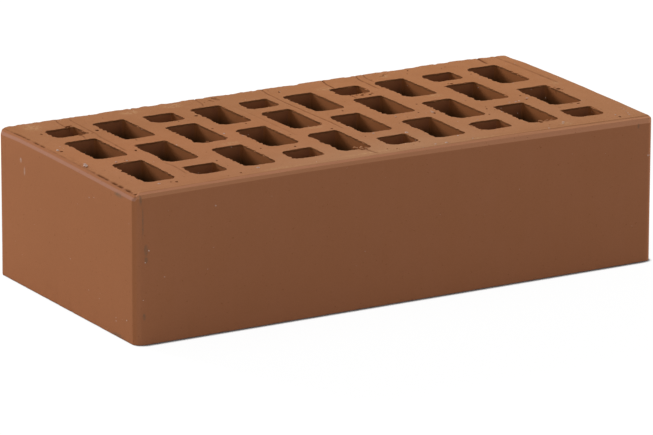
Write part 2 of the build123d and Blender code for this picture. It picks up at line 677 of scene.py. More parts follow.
def slot_tree(sizes, slots):
    """The tree that cuts the slots: a column of three, repeated, and turned end for end."""
    net, given = open_tree("slots", {
        "Block": ("Geometry", None),
        "Columns": ("Int", slots.columns),
        "Pitch": ("Float", 0.0),
        "Slot width": ("Float", slots.width),
        "Short slot": ("Float", slots.short),
        "Long slot": ("Float", slots.long),
        "Slot corner": ("Float", slots.corner),
        "Short centre": ("Float", 0.0),
        "Inner centre": ("Float", 0.0),
        "Outer centre": ("Float", 0.0),
        "Short drift": ("Float", slots.short_drift),
        "Height": ("Float", sizes.height),
        "Ragged rim": ("Float", slots.ragged),
        "Wall sway": ("Float", slots.sway),
        "Seed": ("Float", float(slots.seed)),
        "Clay": ("Material", None),
    }, "Cut block")

    def cutter(length, facing):
        plan = net.add(
            "GeometryNodeCurvePrimitiveQuadrilateral", (),
            {"Width": given("Slot width"), "Height": length},
        )

        # The far right corner is the sharpest, whichever way the column faces
        spot = net.add("ShaderNodeSeparateXYZ", (), {"Vector": net.add("GeometryNodeInputPosition")})
        rightward, backward = spot.step("SIGN"), net.output(spot, "Y").step("SIGN")
        radius = given("Slot corner") * ((rightward + backward) * (-0.25 * facing) + 1.0)
        rounded = net.add(
            "GeometryNodeFilletCurve", {"mode": "POLY"},
            {"Curve": plan, "Count": 6, "Radius": radius, "Limit Radius": True},
        )
        profile = net.add(
            "GeometryNodeResampleCurve", {"mode": "LENGTH"}, {"Curve": rounded, "Length": RIM_STEP}
        )
        upright = net.add("GeometryNodeCurvePrimitiveLine", (), {"Start": (0, 0, 0), "End": (0, 0, 1)})
        rows = net.add(
            "GeometryNodeResampleCurve", {"mode": "COUNT"},
            {"Curve": upright, "Count": len(CUTTER_LEVELS)},
        )
        place = net.add("GeometryNodeSplineParameter")
        last = len(CUTTER_LEVELS) - 1
        bends = [(i / last, level) for i, level in enumerate(CUTTER_LEVELS)]
        level = net.add("ShaderNodeFloatCurve", {"bends": bends}, {"Value": place})
        lift = (level * (1 + 2 * OVERSHOOT) - OVERSHOOT) * given("Height")
        rows = net.add(
            "GeometryNodeSetPosition", (), {"Geometry": rows, "Position": net.xyz(0, 0, lift)}
        )
        return net.add(
            "GeometryNodeCurveToMesh", (),
            {"Curve": rows, "Profile Curve": profile, "Fill Caps": True},
        )

    def moved(geometry, **sockets):
        return net.add("GeometryNodeTransform", (), {"Geometry": geometry, **sockets})

    def column(facing):
        short, long = cutter(given("Short slot"), facing), cutter(given("Long slot"), facing)
        short_centre = given("Short centre") - given("Short drift") * facing
        return net.add("GeometryNodeJoinGeometry", (), {"Geometry": [
            moved(short, Translation=net.xyz(0, short_centre, 0)),
            moved(long, Translation=net.xyz(0, given("Inner centre"), 0)),
            moved(long, Translation=net.xyz(0, given("Outer centre"), 0)),
        ]})

    pitch, columns = given("Pitch"), given("Columns")
    first = (columns * -1.0 + 0.5) * pitch
    line = net.add("GeometryNodeMeshLine", {"mode": "OFFSET"}, {
        "Count": columns, "Start Location": net.xyz(first, 0, 0), "Offset": net.xyz(pitch * 2.0, 0, 0),
    })
    one_way = net.add("GeometryNodeInstanceOnPoints", (), {"Points": line, "Instance": column(1)})
    turned = net.add("GeometryNodeInstanceOnPoints", (), {"Points": line, "Instance": column(-1)})
    other_way = moved(turned, Rotation=(0.0, 0.0, math.pi))
    cutters = net.add("GeometryNodeRealizeInstances", (), {
        "Geometry": net.add("GeometryNodeJoinGeometry", (), {"Geometry": [one_way, other_way]})
    })

    # Torn rims near the beds, and walls that sway a little
    place = net.add("GeometryNodeInputPosition")
    parts = net.add("ShaderNodeSeparateXYZ", (), {"Vector": place})
    z = net.output(parts, "Z")
    normal = net.add("GeometryNodeInputNormal")
    flat = net.vector("NORMALIZE", net.vector("MULTIPLY", normal, (1.0, 1.0, 0.0)))
    height = given("Height")
    top = net.fade(z, height - 0.55 * MM, height - 0.12 * MM)
    foot = net.fade(z, 2.5 * MM, 0.5 * MM, high=0.8)
    near_bed = top.most(foot)
    seed = given("Seed")
    steps = net.fade(net.noise(place, 520.0, 0.0, 0.5, seed=seed), 0.49, 0.53)
    fine = net.noise(place, 1100.0, 0.0, 0.5, seed=seed + 5.0) - 0.5
    bites = net.fade(net.noise(place, 230.0, 0.0, 0.5, seed=seed + 7.0), 0.6, 0.64)
    torn = steps - 0.42 + fine * 2.2 + bites * 0.9

    # The wire tore the rims on the header's side of each slot the most
    side = net.add("ShaderNodeSeparateXYZ", (), {"Vector": flat})
    torn = torn * net.fade(side, -0.3, -0.8, low=0.45)
    sway = net.noise(place, 60.0, 1.0, 0.5, seed=seed + 3.0) - 0.5
    stray = near_bed * torn * given("Ragged rim") + sway * 2.0 * given("Wall sway")
    ragged = net.add("GeometryNodeSetPosition", (), {
        "Geometry": cutters, "Offset": net.vector("SCALE", flat, Scale=stray)
    })
    cut = net.add(
        "GeometryNodeMeshBoolean", {"operation": "DIFFERENCE", "solver": "MANIFOLD"},
        {"Mesh 1": given("Block"), "Mesh 2": ragged},
    )
    return close_tree(net, cut, given("Clay"))


# Pits in the upper bed: x, y, half length, half width (mm), turn of the long axis
# from +Y (degrees) and depth (mm)
PITS = (
    (-114.0, 41.0, 0.9, 0.5, 5, 0.4), (-119.9, 12.6, 0.9, 0.7, 10, 0.6),
    (-91.0, 34.9, 1.2, 0.8, -8, 0.9), (-91.2, -2.0, 1.1, 0.6, -15, 0.7),
    (-84.3, 12.8, 0.7, 0.4, 10, 0.4), (-48.6, 12.5, 0.6, 0.5, 0, 0.5),
    (-71.2, -32.0, 0.8, 0.4, -20, 0.35), (-99.4, -50.3, 0.9, 0.6, -10, 0.7),
    (-101.6, -49.3, 0.5, 0.4, 0, 0.4), (-71.1, -52.0, 0.6, 0.5, 0, 0.5),
    (-46.3, -24.7, 0.5, 0.5, 0, 0.5), (-44.2, 34.7, 0.9, 0.9, 0, 0.9),
    (-32.2, 12.6, 0.6, 0.5, -10, 0.4), (-32.4, -29.3, 0.8, 0.6, -20, 0.6),
    (-8.3, -5.6, 0.6, 0.5, 0, 0.5), (-4.6, -12.6, 0.7, 0.6, 0, 0.6),
    (7.2, 52.7, 0.9, 0.5, -15, 0.5), (14.8, 11.0, 0.7, 0.4, -10, 0.35),
    (2.0, -29.2, 0.5, 0.4, -15, 0.4), (-0.2, -50.8, 0.6, 0.4, 0, 0.4),
    (3.9, -51.7, 0.5, 0.4, 0, 0.4), (17.9, -47.1, 0.5, 0.5, 0, 0.5),
    (29.1, -9.8, 0.6, 0.4, -20, 0.4), (41.5, -7.9, 0.6, 0.4, -15, 0.4),
    (36.0, 29.9, 0.7, 0.6, 0, 0.5), (38.8, 28.2, 0.8, 0.7, 0, 0.6),
    (60.5, 54.1, 0.7, 0.5, 0, 0.6), (73.4, 55.5, 0.7, 0.4, -10, 0.5),
    (94.0, 36.5, 0.6, 0.4, -15, 0.4), (47.7, 4.0, 0.5, 0.5, 0, 0.4),
    (46.9, -12.1, 0.8, 0.5, -20, 0.7), (69.8, -17.0, 0.9, 0.4, -20, 0.35),
    (93.0, -4.9, 0.6, 0.4, -15, 0.4), (92.2, -11.7, 0.7, 0.4, -20, 0.5),
    (66.1, -25.2, 0.5, 0.4, 0, 0.4), (78.3, 26.3, 0.9, 0.7, 0, 0.7),
    (112.3, -53.6, 0.7, 0.6, 0, 0.8), (112.9, -2.7, 1.3, 1.1, -25, 0.8),
    (107.9, -27.0, 0.8, 1.0, 0, 0.7), (78.5, -46.2, 0.8, 0.8, 0, 0.6),
    (-98.8, 46.2, 1.0, 1.2, 0, 1.2), (-96.5, 33.2, 0.9, 0.8, 20, 0.8),
    (-23.2, 55.0, 3.0, 1.3, 12, 0.3), (-26.3, 53.4, 2.0, 0.6, 18, 0.35),
    (-62.6, 59.3, 0.9, 1.0, 0, 0.8), (110.6, 57.5, 1.1, 0.9, 0, 0.8),
)
SMALL_PITS = 70


def all_pits():
    """The listed pits, and a scatter of small ones."""
    draw = np.random.default_rng(17)
    small = [
        (
            draw.uniform(-119, 121), draw.uniform(-54, 57), draw.uniform(0.25, 0.5),
            draw.uniform(0.2, 0.35), draw.uniform(-30, 15), draw.uniform(0.15, 0.35),
        )
        for _ in range(SMALL_PITS)
    ]
    return [*PITS, *small]


# Clay crumbs and burrs on the upper bed: x, y, half length, half width, height
# (mm) and turn (degrees)
CRUMBS = (
    (-11.6, -43.8, 1.3, 0.8, 0.8, 35), (-9.6, -44.9, 1.2, 0.7, 0.9, -50),
    (-7.8, -46.0, 0.9, 0.7, 0.7, 10), (-10.2, -46.6, 1.1, 0.6, 0.6, 80),
    (-8.9, -47.6, 0.7, 0.5, 0.5, 30), (79.3, -44.6, 1.1, 0.6, 0.6, 60),
    (81.6, -45.3, 1.2, 0.5, 0.5, 95), (84.2, -45.2, 0.8, 0.5, 0.5, 80),
    (112.1, -0.6, 0.8, 0.6, 0.5, 20), (113.6, -4.6, 0.9, 0.5, 0.5, -30),
    (35.0, 28.6, 0.8, 0.4, 0.4, 70), (37.5, 31.2, 0.9, 0.4, 0.45, 100),
    (40.4, 29.6, 0.8, 0.5, 0.5, 10), (33.2, 30.6, 0.6, 0.5, 0.4, 0),
    (-97.2, 47.0, 0.9, 0.6, 0.5, 80), (-94.9, 32.0, 0.7, 0.5, 0.4, 0),
    (-101.0, 31.2, 0.7, 0.4, 0.35, 50), (-22.0, 57.6, 0.9, 0.5, 0.4, 0),
    (59.2, 52.6, 1.3, 0.4, 0.35, 60), (62.0, 55.2, 0.9, 0.4, 0.35, 10),
    (-80.3, 46.4, 0.5, 0.4, 0.3, 0), (50.2, -44.4, 0.6, 0.5, 0.4, 0),
    (104.6, -26.0, 0.8, 0.4, 0.4, 90), (77.0, 27.2, 0.6, 0.4, 0.4, 20),
    (98.6, -29.4, 0.6, 0.4, 0.3, 90), (-60.5, -4.6, 0.7, 0.4, 0.4, 60),
)

# Pale grains that show: bed (x, y, size in mm), header (y, z) and stretcher (x, z)
BED_GRAINS = (
    (-120.0, 14.9, 0.7), (-121.0, -11.3, 1.1), (-120.2, -9.3, 0.8), (-121.6, -12.9, 0.6),
    (-107.3, -12.9, 0.6), (-106.9, -49.2, 0.7), (-61.5, -49.2, 0.8), (-48.3, 3.0, 0.6),
    (-72.9, -3.1, 0.5), (-116.4, 19.7, 0.4), (20.6, -32.3, 0.8), (7.5, -26.8, 0.5),
    (26.8, -54.6, 0.8), (22.1, -53.5, 0.5), (36.8, -46.7, 0.5), (40.2, -54.0, 0.4),
    (46.9, -10.6, 0.7), (93.2, -9.8, 0.7), (86.5, -12.9, 0.5), (83.5, -12.7, 0.4),
    (57.6, -29.8, 0.5), (86.9, -50.2, 0.7), (85.7, -51.8, 0.5), (76.7, -55.4, 0.4),
    (120.6, -42.1, 0.35), (120.1, -44.6, 0.35), (119.3, -47.8, 0.4), (118.7, -50.2, 0.35),
    (118.0, -52.5, 0.4), (112.4, -50.4, 0.35), (-43.2, -3.8, 0.4), (29.3, -9.1, 0.4),
    (72.9, -24.3, 0.35), (88.4, -12.6, 0.45), (-102.4, -13.1, 0.45), (47.2, -8.9, 0.4),
)
HEADER_GRAINS = (
    (-20.7, 53.3, 0.4), (-24.8, 54.3, 0.4), (-54.7, 50.6, 0.4), (-19.6, 13.5, 0.4),
    (-29.3, 14.6, 0.4), (-28.8, 12.2, 0.35), (-43.2, 6.4, 0.6), (-43.0, 7.9, 0.4),
    (-52.3, 9.1, 0.45), (40.6, 54.6, 0.5), (45.7, 41.1, 0.3),
)
STRETCHER_GRAINS = (
    (-87.7, 54.3, 0.6), (-118.7, 39.7, 0.45), (-120.4, 34.9, 0.35), (-111.5, 27.6, 0.4),
    (-121.4, 19.1, 0.4), (58.2, 40.7, 0.4), (84.2, 52.6, 0.45), (122.6, 46.7, 0.7),
    (-7.2, 55.0, 0.4), (20.9, 56.7, 0.4), (-25.8, 61.5, 0.5), (101.0, 50.5, 0.4),
)


# How many grains too small to place one by one are scattered over each face, how
# far the placed and the scattered ones lie in from it, and how flat they all are
BED_SCATTER, HEADER_SCATTER, STRETCHER_SCATTER = 70, 22, 40
GRAIN_IN, SCATTER_IN = 0.12, 0.1
GRAIN_FLAT = 0.35

# How far crumbs and scattered grains are sunk into the bed
CRUMB_SUNK, SCATTER_SUNK = 0.15, 0.03


def place_points(name, marks):
    """A point on each mark, given as its place, half sizes and turn about the upright."""
    mesh = bpy.data.meshes.new(name)
    mesh.from_pydata([[c * MM for c in place] for place, size, turn in marks], [], [])
    sizes = mesh.attributes.new("size", "FLOAT_VECTOR", "POINT")
    turns = mesh.attributes.new("turn", "FLOAT_VECTOR", "POINT")
    for i, (place, size, turn) in enumerate(marks):
        sizes.data[i].vector = [s * MM for s in size]
        turns.data[i].vector = (0.0, 0.0, math.radians(turn))
    return new_object(name, mesh)


def stones(net, points, rounds, rough, seed):
    """Rough pebbles on points that carry a size and a turn, as real faces."""
    ball = net.add("GeometryNodeMeshIcoSphere", (), {"Radius": 1.0, "Subdivisions": rounds})
    size = net.add("GeometryNodeInputNamedAttribute", {"data_type": "FLOAT_VECTOR"}, {"Name": "size"})
    turn = net.add("GeometryNodeInputNamedAttribute", {"data_type": "FLOAT_VECTOR"}, {"Name": "turn"})
    spread = net.add("GeometryNodeInstanceOnPoints", (), {
        "Points": points, "Instance": ball, "Scale": size,
        "Rotation": net.add("FunctionNodeEulerToRotation", (), {0: turn}),
    })
    real = net.add("GeometryNodeRealizeInstances", (), {"Geometry": spread})
    place = net.add("GeometryNodeInputPosition")
    push = (net.noise(place, 900.0, 2.0, 0.6, seed=seed) - 0.5) * rough
    offset = net.vector("SCALE", net.add("GeometryNodeInputNormal"), Scale=push)
    return net.add("GeometryNodeSetPosition", (), {"Geometry": real, "Offset": offset})


def pit_tree():
    """The tree that presses the pits into the bed."""
    net, given = open_tree("pits", {
        "Block": ("Geometry", None),
        "Pit places": ("Object", None),
        "Roughness": ("Float", 0.6 * MM),
        "Seed": ("Float", 2.0),
        "Clay": ("Material", None),
    }, "Pitted block")
    places = net.add("GeometryNodeObjectInfo", (), {"Object": given("Pit places")})
    pits = stones(net, net.output(places, "Geometry"), 2, given("Roughness"), given("Seed"))
    cut = net.add(
        "GeometryNodeMeshBoolean", {"operation": "DIFFERENCE", "solver": "MANIFOLD"},
        {"Mesh 1": given("Block"), "Mesh 2": pits},
    )
    return close_tree(net, cut, given("Clay"))


def stone_tree(name, rounds):
    """The tree that turns points into rough pebbles."""
    net, given = open_tree(name, {
        "Places": ("Geometry", None),
        "Roughness": ("Float", 0.5 * MM),
        "Seed": ("Float", 5.0),
        "Clay": ("Material", None),
    }, "Pebbles")
    made = stones(net, given("Places"), rounds, given("Roughness"), given("Seed"))
    return close_tree(net, made, given("Clay"))


def set_stones(name, marks, rounds, material, roughness):
    """A rough pebble on each mark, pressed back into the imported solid's box."""
    points = place_points(name + " places", marks)
    mesh = run_tree(points, stone_tree(name, rounds), {"Clay": material, "Roughness": roughness})
    bpy.data.objects.remove(points)
    co = np.empty(len(mesh.vertices) * 3)
    mesh.vertices.foreach_get("co", co)
    co = np.clip(co.reshape(-1, 3), np.array(cad_low), np.array(cad_high))
    mesh.vertices.foreach_set("co", co.ravel())
    mesh.update()
    return mesh


def crown_drop(x, y, sizes):
    """How far the bed has sunk at a place, in millimetres."""
    half_x, half_y, _ = half_sizes(sizes)
    across = sizes.crown_across / MM * (y / half_y) ** 2
    forward = np.clip(0.5 - y / half_y / 2, 0, 1) ** 1.3
    return sizes.sunk / MM + across + sizes.crown_along / MM * (x / half_x) ** 2 * forward


def in_from_dressed(x, y, sizes):
    """Distance in from the dressed faces and the rounded arris between them, in millimetres."""
    half_x, half_y, _ = half_sizes(sizes)
    radius = sizes.arris / MM
    over_x, over_y = radius - (x + half_x), radius - (y + half_y)
    rounded = np.hypot(np.maximum(over_x, 0), np.maximum(over_y, 0))
    return radius - rounded - np.minimum(np.maximum(over_x, over_y), 0)


def drag_grooves(x, y):
    """Depth of the lines that the wire and the handling dragged across the bed."""
    depth = 0 * x
    for number, (path, deep, half_width) in enumerate(DRAG_LINES):
        off = np.abs(x - line_place(path, y))
        start, end = path[0][1], path[-1][1]
        reach = soft_step(y, end - 1.5, end + 2) * (1 - soft_step(y, start, start + 1.5))
        broken = 0.75 + 0.35 * lattice_noise(x * 0 + number, y, 1.4, 20 + number)
        depth = np.maximum(depth, deep * broken * reach * (1 - soft_step(off, 0.0, half_width + 0.2)))
    return depth


def crease_gaps(x, y, sizes):
    """Distances in from the creases beside the header and beside the stretcher, in millimetres."""
    half_x, half_y, _ = half_sizes(sizes)
    header = 2.4 - 0.3 * soft_step(y, -30, -5)
    stretcher = 3.7 + 0.4 * np.exp(-(((x + 60) / 40) ** 2)) - 0.6 * soft_step(x, 60, 115)
    from_header = x + half_x + 0.12 * lattice_noise(y, y * 0, 4.0, 42)
    from_stretcher = y + half_y + 0.1 * lattice_noise(x, x * 0, 5.0, 45)
    return from_header - header, from_stretcher - stretcher


def crease_grooves(x, y, sizes):
    """Depth of the creases that the rollers left beside the two dressed edges."""
    beside_header, beside_stretcher = crease_gaps(x, y, sizes)
    uneven = 0.75 + 0.4 * lattice_noise(x, x * 0, 7.0, 41)
    front = 0.1 * uneven * np.exp(-((beside_stretcher / 0.4) ** 2))
    front = np.maximum(front, 0.04 * np.exp(-(((beside_stretcher - 2.5) / 0.4) ** 2)))
    front *= soft_step(beside_header, -0.6, 0.4)

    # The header's crease is torn, most of all near the two arrises
    tears = lattice_noise(y, y * 0, 1.7, 43) + 0.5 * lattice_noise(y, y * 0, 0.8, 44)
    torn = soft_step(tears, -0.3, 0.2)
    places = (-58, -40, -36, -24, -18, 14, 20, 46, 54)
    strong = np.interp(y, places, (1, 1, 0.8, 0.7, 0.15, 0.2, 0.75, 0.8, 0.15)) * torn
    side = (0.09 + 0.5 * strong) * np.exp(-((beside_header / (0.28 + 0.3 * strong)) ** 2))
    side *= soft_step(beside_stretcher, -0.8, 0.4)

    # Fine ridges run beside it where it isn't torn
    combed = soft_step(y, -28, -18) * (1 - soft_step(y, 12, 20))
    ridges = sum(np.exp(-(((beside_header - gap) / 0.25) ** 2)) for gap in (0.85, 1.7))
    ridges *= 0.09 * combed * soft_step(lattice_noise(y, x, 1.3, 46), -0.5, 0.3)
    return np.maximum(np.maximum(front, side), ridges)


# Where the slots of the fired brick lie off their even pitch, in millimetres. The
# clay crept towards the header in two broad swells: place, half width, how far
SWELLS = ((48, 55, 1.45), (-104, 25, 0.9))

# The front slots lie a little back, and the back ones forward: where it starts
# across the brick, where it is full, and how far
ROW_SHIFTS = ((-10, -25, 0.2), (10, 28, -0.5))

# A column and single slots that lie off further, to the half millimetre: the
# centre, the half length, and how far it lies off along and across the brick
STRAYED = (
    (12, 0, 60, -0.5, -1.0), (-104, 10, 15, -1.0, -0.5), (-81, -10, 15, -1.0, 0.5),
    (35, -30, 15, 0.0, -1.0), (104, -39, 6.5, -1.5, -0.5), (104, -10, 15, 0.5, -1.0),
)


def creep(x, y):
    """How far the clay inside the edges has crept along and across the brick, in millimetres."""
    along = -sum(far * np.exp(-(((x - place) / half_width) ** 2)) for place, half_width, far in SWELLS)
    across = sum(far * soft_step(y, start, end) for start, end, far in ROW_SHIFTS)
    for centre_x, centre_y, half_long, shift_x, shift_y in STRAYED:
        near = 1 - soft_step(np.abs(x - centre_x), 9, 13.5)
        near = near * (1 - soft_step(np.abs(y - centre_y), half_long + 1, half_long + 5))
        along, across = along + near * shift_x, across + near * shift_y
    return along, across


def press_bed(co, places, sizes):
    """Presses the bed and its edges down, and gives the masks that colour them, painted shade in the
    recesses among them.
    """
    x, y, z = places
    half_x, half_y, height = half_sizes(sizes)

    # The bed's undulation, its grooves and the shoulders beside the dressed edges
    upper = soft_step(z, height - 1.6, height - 0.01)
    inside = in_from_dressed(x, y, sizes)
    grooves = np.maximum(drag_grooves(x, y), crease_grooves(x, y, sizes)) * soft_step(inside, 1.4, 1.8)
    uneven = 0.05 * lattice_noise(x, y, 9.0, 11) + 0.03 * lattice_noise(x, y, 3.5, 12)
    pressed = np.clip((sizes.shoulder / MM - inside) / 1.2, 0, 1)
    co[:, 2] += (uneven * soft_step(inside, 1.6, 2.2) - grooves) * upper
    co[:, 2] -= sizes.shoulder_drop / MM * pressed * soft_step(z, height - 4, height - 1)

    # The shoulder sags on the header and towards the right end, and the bevel
    # reaches lower still
    header_side = soft_step(y - x + half_y - half_x, -0.7, 0.7)
    right = soft_step(x, -60, 110)
    sag_header = sizes.header_sag / MM * np.interp(y, (-35, 11, 56), (1.0, 0.45, 0.2))
    sag = header_side * sag_header + (1 - header_side) * right * sizes.right_sag / MM
    lowered = sag * np.clip((3.8 + 2.7 * header_side - inside) / (2.4 + 2.6 * header_side), 0, 1)
    lowered += sizes.extra_drop / MM * np.maximum(header_side, right) * (1 - soft_step(inside, 0.5, 1.3))
    back_corners = soft_step(x, 104, 122) + soft_step(-x, 119, 125)
    lowered += sizes.corner_drop / MM * back_corners * soft_step(y, 40, 57)
    co[:, 2] -= lowered * soft_step(z, height - 9, height - 1.5)

    # The clay beyond the creases keeps the skin that the die gave it
    beside_header, beside_stretcher = crease_gaps(x, y, sizes)
    dressed = 1 - soft_step(np.minimum(beside_header, beside_stretcher), -0.35, 0.0)

    # Painted shade for the recesses: the grooves, and the pits where the bed was cut into
    recess = np.clip(grooves * upper / 0.36, 0, 1)
    for pit_x, pit_y, long, wide, turn, deep in all_pits():
        angle = math.radians(turn)
        along = (y - pit_y) * math.cos(angle) - (x - pit_x) * math.sin(angle)
        across = (x - pit_x) * math.cos(angle) + (y - pit_y) * math.sin(angle)
        within = np.hypot(along / (long + 0.35), across / (wide + 0.35)) < 1
        recess[within & (z < height - 0.04) & (z > height - deep - 0.5)] = min(0.3 + 0.5 * deep, 0.85)
    outermost = np.minimum(half_x - np.abs(x), half_y - np.abs(y)) < 0.3
    recess[outermost & (z < height - 1.0)] = 0
    return {"recess": recess, "dressed": dressed, "lowered": lowered}


def crumble_back(co, places, sizes):
    """Crumbles the back edge, where the wire left the clay."""
    x, y, z = places
    _, half_y, height = half_sizes(sizes)
    near_back = soft_step(y, half_y - 1.6, half_y - 0.2) * soft_step(z, height - 5, height - 0.4)
    crumble = 0.15 + 0.35 * lattice_noise(x, z, 2.3, 51) + 0.3 * lattice_noise(x, z, 0.9, 52)
    dips = 0.6 * lattice_noise(x, y * 0, 5.0, 53) + 0.5 * lattice_noise(x, y * 0, 1.6, 54)
    co[:, 1] -= near_back * np.clip(crumble, 0, 1)
    co[:, 2] -= near_back * soft_step(z, height - 1.5, height) * np.clip(dips, 0, 1)


def press_faces(co, places, sizes):
    """Leaves the side faces a little uneven, as the die did, and chips the foot all round."""
    x, y, z = places
    half_x, half_y, height = half_sizes(sizes)
    from_ends, from_sides = half_x - np.abs(x), half_y - np.abs(y)
    on_end = from_ends < from_sides
    face = 1 - soft_step(np.minimum(from_ends, from_sides), 1.0, 4.0)
    wave = face * soft_step(z, 0.3, 6) * (1 - soft_step(z, height - 9, height - 3))
    wave *= 0.035 + 0.035 * lattice_noise(x + y, z * 0.3, 17.0, 61)
    chips = np.clip(lattice_noise(x + 300, y, 1.3, 71) - 0.25, 0, 1) * 0.5
    chips *= soft_step(np.maximum(from_ends, from_sides), 3, 5)
    chips *= face * (1 - soft_step(z, 0.02, 0.9))
    for inward in (wave, chips):
        co[:, 0] -= np.where(on_end, np.sign(x) * inward, 0)
        co[:, 1] -= np.where(on_end, 0, np.sign(y) * inward)


def settle(co, places, sizes):
    """Crowns the bed, and moves the clay of the upper half to where the slots lie."""
    x, y, z = places
    _, half_y, height = half_sizes(sizes)
    co[:, 2] -= crown_drop(x, y, sizes) * np.clip(z / height, 0, 1) ** 2
    co[:, 2] = np.clip(co[:, 2], 0, height)

    # The edges hold still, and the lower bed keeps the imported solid's slots
    held = soft_step(in_from_dressed(x, y, sizes), 4, 9) * soft_step(half_y - y, 0.5, 8)
    held *= np.clip(2 * z / height, 0, 1)
    along, across = creep(x, y)
    co[:, 0] += along * held
    co[:, 1] += across * held


def press_marks(mesh, sizes):
    """Presses the marks of wire, handling and firing into the cut mesh."""
    co = np.empty(len(mesh.vertices) * 3)
    mesh.vertices.foreach_get("co", co)
    co = co.reshape(-1, 3) / MM
    places = co.T.copy()
    masks = press_bed(co, places, sizes)
    crumble_back(co, places, sizes)
    press_faces(co, places, sizes)
    settle(co, places, sizes)
    mesh.vertices.foreach_set("co", (co * MM).ravel())
    for name, values in masks.items():
        mesh.attributes.new(name, "FLOAT", "POINT").data.foreach_set("value", values)
    mesh.update()


# Edges that turn more than this, in degrees, are shaded sharp
SHARP_ANGLE = 38.0


def keep_sharp(mesh, degrees):
    """Smooth faces, with the edges beyond this angle kept sharp."""
    mesh.shade_smooth()
    normals = np.empty(len(mesh.polygons) * 3)
    mesh.polygons.foreach_get("normal", normals)
    normals = normals.reshape(-1, 3)
    loops = np.empty(len(mesh.loops), int)
    mesh.loops.foreach_get("edge_index", loops)
    totals = np.empty(len(mesh.polygons), int)
    mesh.polygons.foreach_get("loop_total", totals)
    owner = np.repeat(np.arange(len(totals)), totals)
    order = np.argsort(loops, kind="stable")
    edge, face = loops[order], owner[order]
    paired = np.flatnonzero(edge[:-1] == edge[1:])
    turn = np.einsum("ij,ij->i", normals[face[paired]], normals[face[paired + 1]])
    sharp = np.zeros(len(mesh.edges), bool)
    sharp[edge[paired]] = turn < math.cos(math.radians(degrees))
    attribute = mesh.attributes.get("sharp_edge")
    attribute = attribute or mesh.attributes.new("sharp_edge", "BOOLEAN", "EDGE")
    attribute.data.foreach_set("value", sharp)


def spots(net, place, marks, breakup):
    """Soft-edged spots about their centres, broken up inside and nought outside."""
    total = None
    for centre, size in marks:
        off = net.vector("SUBTRACT", place, centre)
        scaled = net.vector("MULTIPLY", off, tuple(1 / s for s in size))
        spot = net.fade(net.vector("LENGTH", scaled, out=1), SPOT_EDGE, SPOT_CORE)
        total = spot if total is None else total.most(spot)
    return total * breakup


# Soft marks: centre and half size in millimetres
DUST_MARKS = (
    ((-113, 52, 65), (5, 6, 9)), ((-66, 53, 65), (5, 3, 9)), ((-45, 54, 65), (5, 4, 9)),
    ((-53, -11.5, 65), (5, 2.5, 9)), ((-10, -7.5, 65), (4, 2, 9)), ((25, 46, 65), (4, 3, 9)),
    ((61, 12.5, 65), (4, 2.5, 9)), ((59, 52, 65), (3, 3, 9)), ((117, 5.5, 65), (3, 3, 9)),
    ((-52, -53.5, 65), (12, 1.4, 9)), ((-10, -52.5, 65), (16, 1.6, 9)), ((43, -54.5, 65), (9, 1.4, 9)),
    ((86, -52, 65), (3, 3, 9)),
)
SCUFF_MARKS = (
    ((-125, -46, 60.6), (3, 4.2, 1.0)), ((-122.3, -60, 61.2), (0.6, 3, 2.4)),
    ((-120, -60, 40), (1.1, 3, 2.6)), ((-120, -60, 36), (1.0, 3, 1.6)),
    ((-121, -60, 12), (0.9, 3, 1.6)), ((-125, -44, 0.8), (3, 6, 0.9)),
    ((117.4, -60, 60.2), (0.6, 3, 1.2)), ((-121.4, -60, 52), (0.4, 3, 7.0)),
)
PALE_MARKS = (((-125, 39.8, 54.6), (3, 0.9, 1.2)), ((-125, 36.6, 50.6), (3, 0.8, 2.0)))

# Where a mark's edge starts and where it is full, as shares of its half size
SPOT_EDGE, SPOT_CORE = 1.25, 0.35


def clay_zones(net, place, tilt, sizes):
    """Depth below the bed and the header's share, then shoulder, bevel, slot wall and cut bed."""
    x = net.add("ShaderNodeSeparateXYZ", (), {"Vector": place})
    y, z, up = net.output(x, "Y"), net.output(x, "Z"), net.output(tilt, "Z")
    half_x, half_y, height = half_sizes(sizes)

    # Depth below the crowned bed, and distance in from the edges
    forward = (0.5 - y / (2 * half_y)).most(0.0) ** 1.3
    across = (y / half_y) ** 2.0 * (sizes.crown_across / MM)
    along = (x / half_x) ** 2.0 * forward * (sizes.crown_along / MM)
    depth = height - sizes.sunk / MM - across - along - z
    radius = sizes.arris / MM
    over_x, over_y = radius - (x + half_x), radius - (y + half_y)
    rounded = (over_x.most(0.0) ** 2.0 + over_y.most(0.0) ** 2.0) ** 0.5
    from_dressed = radius - rounded - over_x.most(over_y).least(0.0)
    from_plain = (half_x - x).least(half_y - y)
    inside = from_dressed.least(from_plain)
    header_side = net.fade(over_x - over_y, -0.7, 0.7)

    upward = net.fade(up, 0.45, 0.8)
    downward = net.fade(up, -0.6, -0.9)
    dressed = net.add("ShaderNodeAttribute", {"attribute_name": "dressed"}, out=2)
    shallow = net.fade(depth, 1.5, 1.1)
    field = net.fade(inside, 3.0, 6.0)
    cut_bed = (upward * (1.0 - dressed) * shallow).most(downward)
    hollow = field * (1.0 - upward) * (1.0 - downward)

    # The bevel's band, which lies lower on the header and towards the right end
    lowered = depth - net.add("ShaderNodeAttribute", {"attribute_name": "lowered"}, out=2)
    start = net.fade(lowered, 0.2, 0.5).most(1.0 - header_side)
    edge = net.fade(from_dressed, 1.5, 1.1) * net.fade(from_plain, 0.3, 1.2)
    bevel = edge * start * net.fade(lowered, 1.55, 1.4)
    shoulder = upward * dressed * (1.0 - header_side)
    return depth, header_side, shoulder, bevel, hollow, cut_bed


